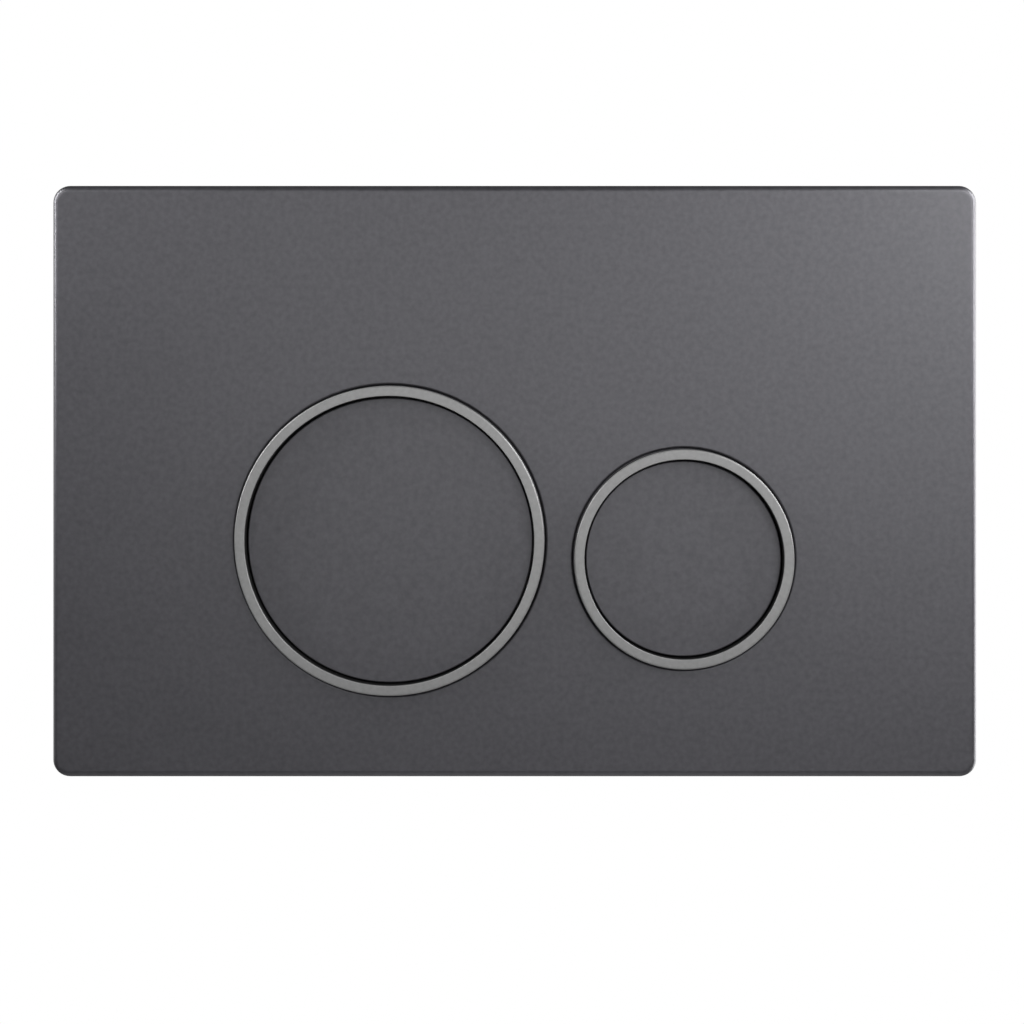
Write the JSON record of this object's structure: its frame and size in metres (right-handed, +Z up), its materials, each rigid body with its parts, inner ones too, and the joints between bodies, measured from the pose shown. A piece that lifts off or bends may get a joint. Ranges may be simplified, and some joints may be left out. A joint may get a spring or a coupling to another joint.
{
  "type": "flush button plate",
  "caption": "Rectangular dual flush plate for a concealed cistern: round full-flush and half-flush buttons in trim rings, sprung, with push rods, clip-fit wall frame and fixing studs.",
  "frame": {"origin": "middle of the plate on the wall plane, which is the plane of the plate's rear rim and the studs' shoulders", "axes": "+X to the right seen from the front, +Y into the wall, +Z up"},
  "size_m": [0.25, 0.0849, 0.16],
  "materials": {
    "plate_finish": "satin graphite lacquer on moulded plastic",
    "ring_finish": "satin light grey metallic lacquer",
    "black_plastic": "moulded black plastic",
    "grey_plastic": "moulded light grey plastic",
    "white_plastic": "moulded natural white plastic",
    "zinc_steel": "bright zinc plating",
    "spring_steel": "drawn stainless wire",
    "soft_rubber": "soft black rubber"
  },
  "bodies": {
    "plate_assembly": {"front_plate": "plate_finish", "large_trim_ring": "ring_finish", "small_trim_ring": "ring_finish", "button_housing": "black_plastic", "housing_screws": "zinc_steel", "mounting_frame": "grey_plastic", "fixing_rods": "zinc_steel", "thumb_nuts": "white_plastic", "fixing_washers": "zinc_steel", "large_return_spring": "spring_steel", "small_return_spring": "spring_steel"},
    "large_button": {"large_button_cap": "plate_finish", "large_plunger": "black_plastic", "large_push_rod": "white_plastic", "large_rod_locknut": "white_plastic", "large_rod_tip": "soft_rubber"},
    "small_button": {"small_button_cap": "plate_finish", "small_plunger": "black_plastic", "small_push_rod": "white_plastic", "small_rod_locknut": "white_plastic", "small_rod_tip": "soft_rubber"}
  },
  "joints": [
    {"name": "large_press", "type": "slide", "parent": "plate_assembly", "child": "large_button", "axis": [0, 1, 0], "range_m": [0, 0.005], "stiffness_N_per_m": 800, "springref_m": -0.004, "deforming": ["large_return_spring"]},
    {"name": "small_press", "type": "slide", "parent": "plate_assembly", "child": "small_button", "axis": [0, 1, 0], "range_m": [0, 0.005], "stiffness_N_per_m": 800, "springref_m": -0.004, "deforming": ["small_return_spring"]}
  ]
}
